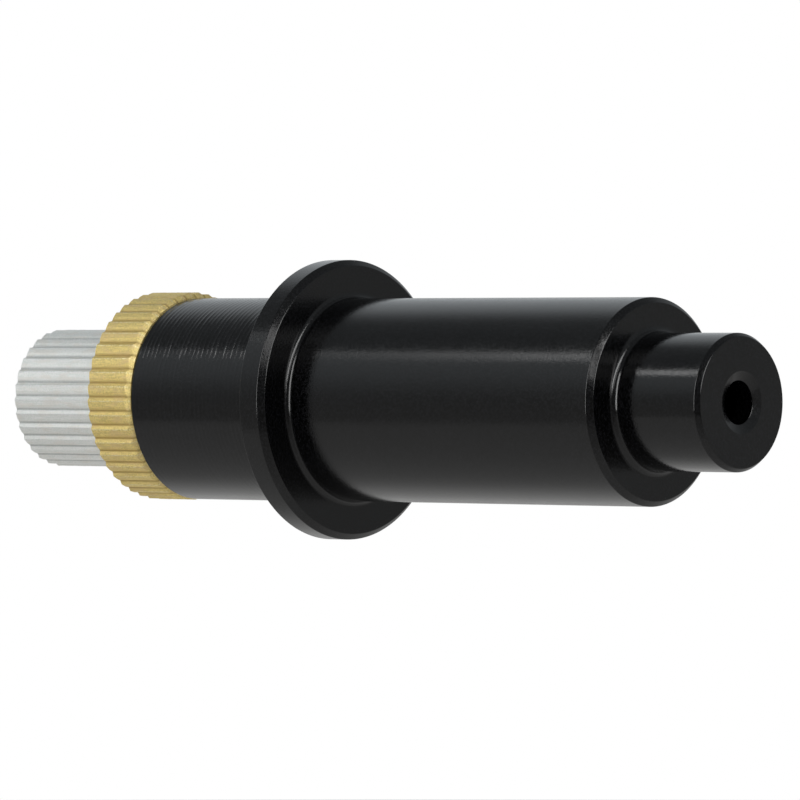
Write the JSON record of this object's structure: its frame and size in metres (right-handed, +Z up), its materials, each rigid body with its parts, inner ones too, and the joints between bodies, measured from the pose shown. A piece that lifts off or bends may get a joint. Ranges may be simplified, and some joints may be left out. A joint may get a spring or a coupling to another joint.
{
  "type": "laser collimator",
  "caption": "Laser collimator: black flanged barrel with a stepped nose and beam hole, knurled brass lock ring and knurled aluminium switch cap.",
  "frame": {"origin": "on the optical axis, in the plane of the flange's front face, which seats on the focuser", "axes": "+X along the optical axis from the flange towards the nose, the way the beam leaves; +Z up; +Y completes the right-handed frame"},
  "size_m": [0.1405, 0.0438, 0.0438],
  "materials": {
    "black_anodised": "gloss to satin black anodised, fine turning marks",
    "knurled_brass": "satin, straight knurl",
    "knurled_aluminium": "matt, straight knurl",
    "white_nylon": "matt",
    "contact_brass": "satin",
    "spring_steel": "drawn wire",
    "cartridge_brass": "turned",
    "turned_aluminium": "turned",
    "rubber": "matt",
    "lens_glass": "polished",
    "diode_gold": "gold plated",
    "circuit_board": "solder mask",
    "black_plastic": "matt",
    "blue_plastic": "matt",
    "red_insulation": "satin",
    "cream_plastic": "matt",
    "sleeve_card": "matt card",
    "cell_steel": "nickel plated",
    "screw_steel": "blackened"
  },
  "bodies": {
    "body": {"main_body": "black_anodised"},
    "ring_travel": {"thrust_washer": "white_nylon"},
    "lock_ring": {"lock_ring": "knurled_brass"},
    "pivot": {"pivot_o_ring": "rubber"},
    "cartridge": {"cartridge_tube": "cartridge_brass", "cartridge_collar": "turned_aluminium", "cap_seal": "rubber", "lens_holder": "cartridge_brass", "collimating_lens": "lens_glass", "lens_spring": "spring_steel", "diode_mount": "cartridge_brass", "laser_diode": "diode_gold", "driver_board": "circuit_board", "driver_chip": "black_plastic", "board_capacitor": "blue_plastic", "power_trimmer": "blue_plastic", "positive_lead": "red_insulation", "negative_lead": "black_plastic", "contact_insulator": "cream_plastic", "contact_rivet": "contact_brass", "front_contact_spring": "spring_steel", "battery_sleeve": "sleeve_card", "button_cell_1": "cell_steel", "button_cell_2": "cell_steel", "button_cell_3": "cell_steel"},
    "cap_travel": {"cap_contact": "contact_brass", "cap_spring": "spring_steel"},
    "tail_cap": {"tail_cap": "knurled_aluminium"},
    "alignment_screw_1": {"alignment_screw_1": "screw_steel"},
    "alignment_screw_2": {"alignment_screw_2": "screw_steel"},
    "alignment_screw_3": {"alignment_screw_3": "screw_steel"}
  },
  "joints": [
    {"name": "ring_advance", "type": "slide", "parent": "body", "child": "ring_travel", "axis": [-1, 0, 0], "range_m": [0, 0.00301]},
    {"name": "ring_turn", "type": "hinge", "parent": "ring_travel", "child": "lock_ring", "pos_m": [-0.0376, 0, 0.00045], "axis": [-1, 0, 0], "range_deg": [0, 1080]},
    {"name": "cartridge_swing", "type": "hinge", "parent": "body", "child": "pivot", "pos_m": [0.0472, 0, 0], "axis": [0, 0, 1], "range_deg": [-0.2, 0.2]},
    {"name": "cartridge_tilt", "type": "hinge", "parent": "pivot", "child": "cartridge", "pos_m": [0.0472, 0, 0], "axis": [0, 1, 0], "range_deg": [-0.2, 0.2]},
    {"name": "cap_advance", "type": "slide", "parent": "cartridge", "child": "cap_travel", "axis": [-1, 0, 0], "range_m": [-0.00051, 0.00451]},
    {"name": "cap_turn", "type": "hinge", "parent": "cap_travel", "child": "tail_cap", "pos_m": [-0.0515, 0, 0], "axis": [-1, 0, 0], "range_deg": [-120, 1080]},
    {"name": "alignment_screw_1_turn", "type": "hinge", "parent": "body", "child": "alignment_screw_1", "pos_m": [-0.0352, 0, 0], "axis": [0, 0, 1], "range_deg": [-180, 180]},
    {"name": "alignment_screw_2_turn", "type": "hinge", "parent": "body", "child": "alignment_screw_2", "pos_m": [-0.0352, 0, 0], "axis": [0, -0.866, -0.5], "range_deg": [-180, 180]},
    {"name": "alignment_screw_3_turn", "type": "hinge", "parent": "body", "child": "alignment_screw_3", "pos_m": [-0.0352, 0, 0], "axis": [0, 0.866, -0.5], "range_deg": [-180, 180]}
  ],
  "couplings": [
    {"joint": "ring_advance", "follows": "ring_turn", "m_per_rad": 0.00015915},
    {"joint": "cap_advance", "follows": "cap_turn", "m_per_rad": 0.00023873}
  ]
}
